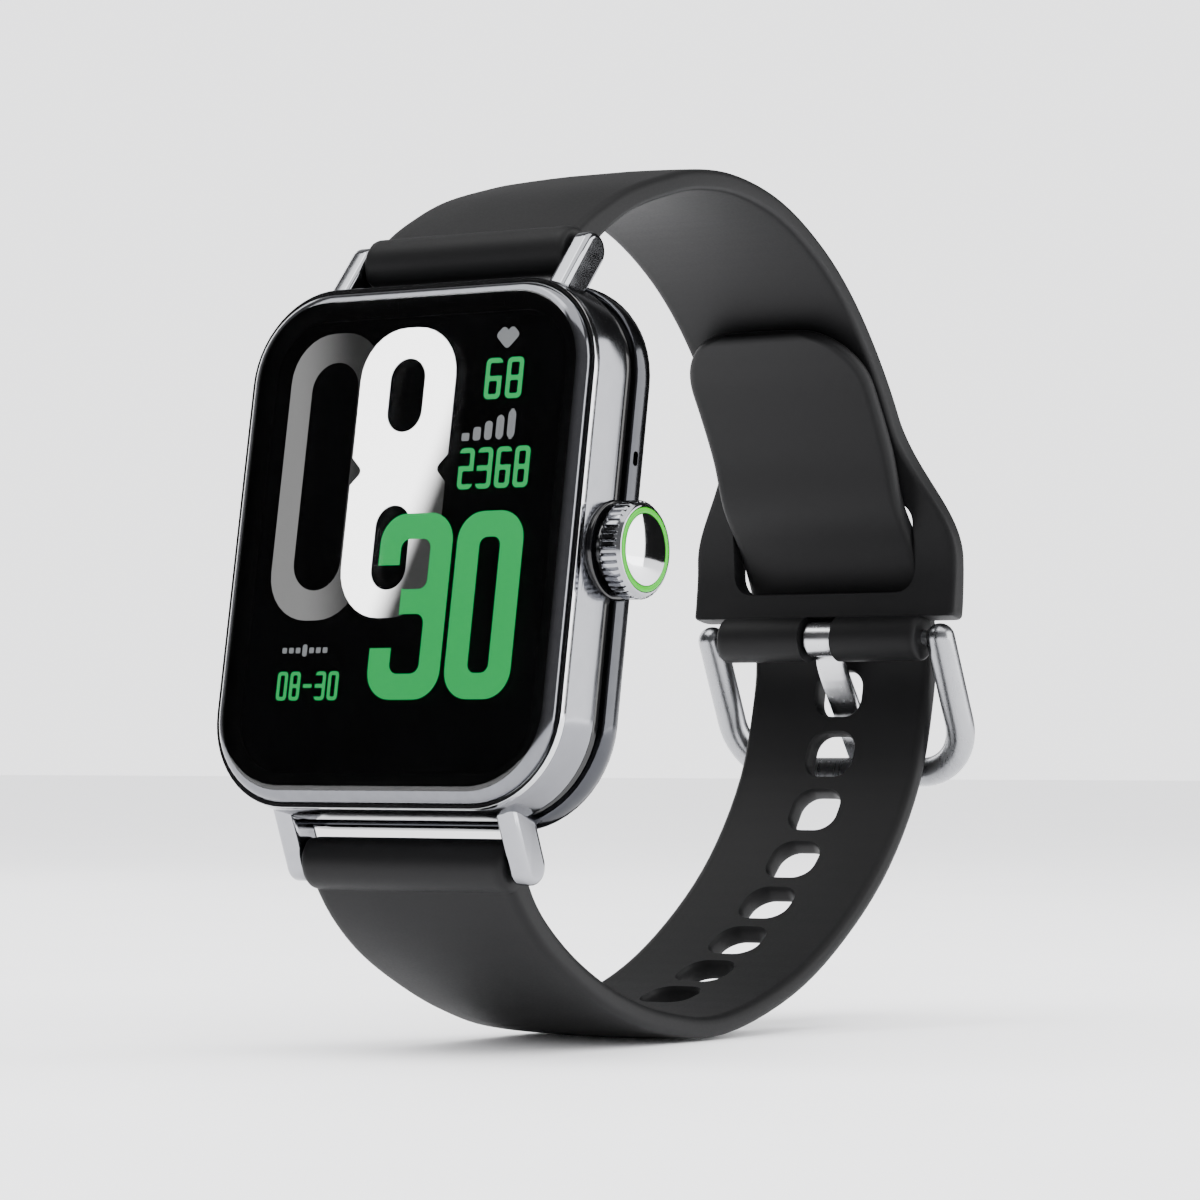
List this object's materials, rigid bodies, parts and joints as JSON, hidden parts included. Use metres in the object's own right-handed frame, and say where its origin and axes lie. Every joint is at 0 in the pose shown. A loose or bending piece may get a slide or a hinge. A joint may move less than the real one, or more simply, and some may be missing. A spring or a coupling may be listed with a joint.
{
  "type": "smartwatch",
  "caption": "Rectangular smartwatch with a curved glass face, a pressable side crown and a closed silicone strap held by a wire-frame buckle and tongue.",
  "frame": {"origin": "middle of the wrist opening: on the watch's plane of symmetry, 39 mm behind the front of the bezel and 2.5 mm above the middle of the case", "axes": "+X across the wrist towards the crown, -Y the way the display faces, +Z towards 12 o'clock"},
  "size_m": [0.042, 0.0846, 0.0816],
  "materials": {
    "glass": "polished, tinted, curved border",
    "ink": "printed black border",
    "seal": "matte",
    "display": "gloss, lit numbers",
    "case_metal": "polished, gunmetal",
    "groove": "gloss black",
    "rear_shell": "gloss, metallised grey",
    "back_plastic": "satin black",
    "steel": "satin",
    "gold": "gold plated",
    "board": "solder mask",
    "flex": "flexible circuit film",
    "cell": "laminated pouch",
    "frame_plastic": "moulded, glass filled",
    "copper": "machined",
    "crown_metal": "polished, knurled",
    "crown_green": "gloss green",
    "crown_face": "polished, domed",
    "lug_metal": "polished",
    "silicone": "soft matte silicone",
    "buckle_metal": "satin",
    "tongue_metal": "polished"
  },
  "bodies": {
    "case": {"cover_glass": "glass", "ink_border": "ink", "glass_seal": "seal", "display_panel": "display", "bezel_ring": "case_metal", "mid_frame": "case_metal", "groove_band": "groove", "rear_housing": "rear_shell", "back_cover": "back_plastic", "back_seal": "seal", "sensor_window": "glass", "sensor_board": "board", "charging_pins": "gold", "back_screws": "steel", "chassis": "frame_plastic", "main_board": "board", "shield_can": "steel", "display_flex": "flex", "battery": "cell", "motor_can": "steel", "speaker": "frame_plastic", "microphone": "gold", "switch_body": "frame_plastic", "crown_seat": "groove", "crown_bushing": "steel", "crown_seal": "seal", "lugs_upper": "lug_metal", "lugs_lower": "lug_metal"},
    "press": {"switch_plunger": "frame_plastic"},
    "crown": {"crown_stem": "steel", "crown_clip": "steel", "encoder_wheel": "frame_plastic", "crown_knob": "crown_metal", "crown_ring": "crown_green", "crown_cap": "crown_face"},
    "rotor": {"motor_rotor": "copper"},
    "upper_strap": {"strap_upper": "silicone", "bar_tube_upper": "steel", "bar_spring_upper": "steel"},
    "lower_strap": {"strap_lower": "silicone", "bar_tube_lower": "steel", "bar_spring_lower": "steel"},
    "upper_pin": {"release_pin_upper": "steel"},
    "lower_pin": {"release_pin_lower": "steel"},
    "buckle": {"buckle_frame": "buckle_metal", "buckle_bar": "steel"},
    "tongue": {"buckle_tongue": "tongue_metal"}
  },
  "joints": [
    {"name": "crown_press", "type": "slide", "parent": "case", "child": "press", "axis": [-1, 0, 0], "range_m": [0, 0.0004], "stiffness_N_per_m": 2500, "springref_m": -0.0004},
    {"name": "crown_turn", "type": "hinge", "parent": "press", "child": "crown", "pos_m": [0, -0.0336, -0.0025], "axis": [1, 0, 0], "continuous": true},
    {"name": "motor_spin", "type": "hinge", "parent": "case", "child": "rotor", "pos_m": [-0.0074, -0.0335, -0.0202], "axis": [0, 1, 0], "continuous": true},
    {"name": "strap_upper_hinge", "type": "hinge", "parent": "case", "child": "upper_strap", "pos_m": [0, -0.0325, 0.025], "axis": [1, 0, 0], "range_deg": [-0.2, 0.2]},
    {"name": "strap_lower_hinge", "type": "hinge", "parent": "case", "child": "lower_strap", "pos_m": [0, -0.0325, -0.03], "axis": [1, 0, 0], "range_deg": [-0.2, 0.2]},
    {"name": "release_upper", "type": "slide", "parent": "upper_strap", "child": "upper_pin", "axis": [-1, 0, 0], "range_m": [0, 0.0015], "stiffness_N_per_m": 700, "springref_m": -0.0008},
    {"name": "release_lower", "type": "slide", "parent": "lower_strap", "child": "lower_pin", "axis": [-1, 0, 0], "range_m": [0, 0.0015], "stiffness_N_per_m": 700, "springref_m": -0.0008},
    {"name": "buckle_hinge", "type": "hinge", "parent": "upper_strap", "child": "buckle", "pos_m": [0, 0.0328, 0.0026], "axis": [1, 0, 0], "range_deg": [0, 2]},
    {"name": "tongue_hinge", "type": "hinge", "parent": "upper_strap", "child": "tongue", "pos_m": [0, 0.0328, 0.0026], "axis": [1, 0, 0], "range_deg": [0, 2]}
  ],
  "couplings": [
    {"joint": "strap_lower_hinge", "follows": "strap_upper_hinge", "ratio": 1},
    {"joint": "tongue_hinge", "follows": "buckle_hinge", "ratio": 1}
  ]
}
